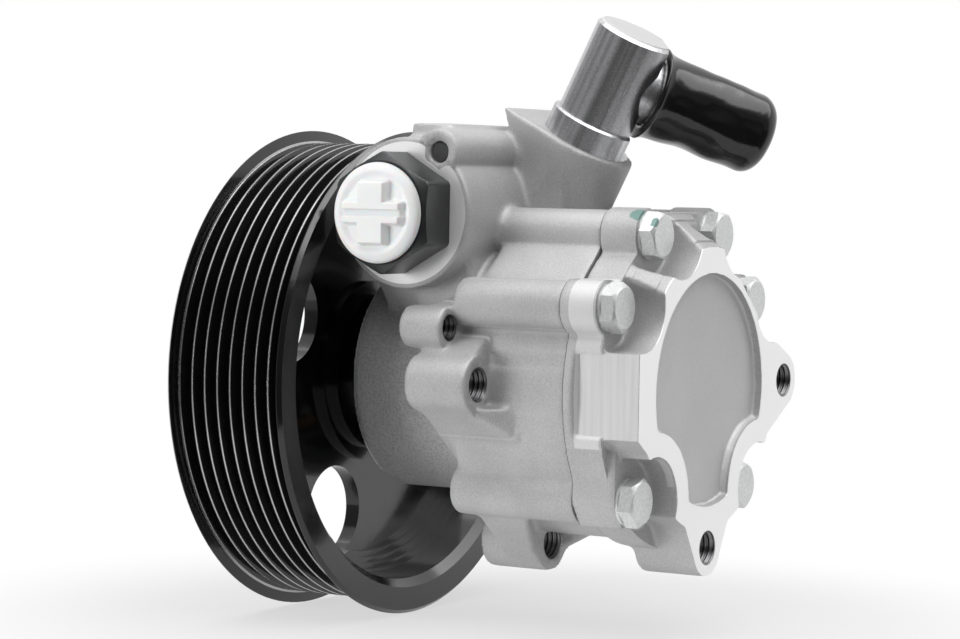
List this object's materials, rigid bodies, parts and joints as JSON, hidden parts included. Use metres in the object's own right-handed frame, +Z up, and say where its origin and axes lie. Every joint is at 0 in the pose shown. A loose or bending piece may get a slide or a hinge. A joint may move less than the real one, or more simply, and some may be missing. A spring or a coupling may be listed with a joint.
{
  "type": "power steering pump",
  "caption": "Vane pump for hydraulic steering: ribbed belt pulley, cast housing with lugs and valve bore, bolted rear cover, suction elbow and capped pressure union.",
  "frame": {"origin": "on the shaft's axis, in the centre plane of the belt grooves", "axes": "+Y along the shaft towards the rear cover, +Z up, +X out of the pressure port"},
  "size_m": [0.117, 0.1128, 0.1445],
  "materials": {
    "pulley_coat": "gloss",
    "ground_steel": "polished",
    "spring_steel": "satin",
    "sintered_steel": "matte",
    "bronze": "satin",
    "seal_rubber": "matte",
    "housing_casting": "as cast",
    "cover_casting": "as cast",
    "zinc_plate": "satin",
    "elbow_zinc": "turned",
    "black_phosphate": "satin",
    "white_plastic": "satin",
    "pin_steel": "satin",
    "black_vinyl": "gloss"
  },
  "bodies": {
    "housing": {"pump_housing": "housing_casting", "bearing_circlip": "spring_steel", "bearing_outer_ring": "ground_steel", "shaft_seal": "seal_rubber", "front_port_plate": "sintered_steel", "cam_ring": "sintered_steel", "rear_port_plate": "sintered_steel", "locating_pins": "ground_steel", "cover_seal": "seal_rubber", "rear_bush": "bronze", "rear_cover": "cover_casting", "cover_bolts": "zinc_plate", "flow_valve_spring": "spring_steel", "pressure_union": "black_phosphate", "union_seal": "seal_rubber", "gallery_pin": "pin_steel", "suction_elbow": "elbow_zinc", "elbow_seal": "seal_rubber"},
    "rotating_group": {"pulley": "pulley_coat", "drive_shaft": "ground_steel", "bearing_inner_ring": "ground_steel", "rotor": "sintered_steel", "vanes": "ground_steel", "rotor_circlip": "spring_steel"},
    "ball_set": {"bearing_cage": "bronze", "bearing_balls": "ground_steel"},
    "valve_spool": {"flow_valve_spool": "ground_steel"},
    "pressure_dust_cap": {"pressure_cap": "white_plastic"},
    "suction_dust_cap": {"suction_cap": "black_vinyl"}
  },
  "joints": [
    {"name": "shaft_spin", "type": "hinge", "parent": "housing", "child": "rotating_group", "pos_m": [0, 0, 0], "axis": [0, 1, 0], "continuous": true},
    {"name": "ball_set_spin", "type": "hinge", "parent": "housing", "child": "ball_set", "pos_m": [0, 0, 0], "axis": [0, 1, 0], "continuous": true},
    {"name": "flow_valve_slide", "type": "slide", "parent": "housing", "child": "valve_spool", "axis": [-1, 0, 0], "range_m": [0, 0.006], "stiffness_N_per_m": 4000, "springref_m": -0.002, "deforming": ["flow_valve_spring"]},
    {"name": "pressure_cap_pull", "type": "slide", "parent": "housing", "child": "pressure_dust_cap", "axis": [1, 0, 0], "range_m": [0, 0.025]},
    {"name": "suction_cap_pull", "type": "slide", "parent": "housing", "child": "suction_dust_cap", "axis": [-0.682, 0.6516, -0.332], "range_m": [0, 0.04]}
  ],
  "couplings": [
    {"joint": "ball_set_spin", "follows": "shaft_spin", "ratio": 0.38158}
  ]
}
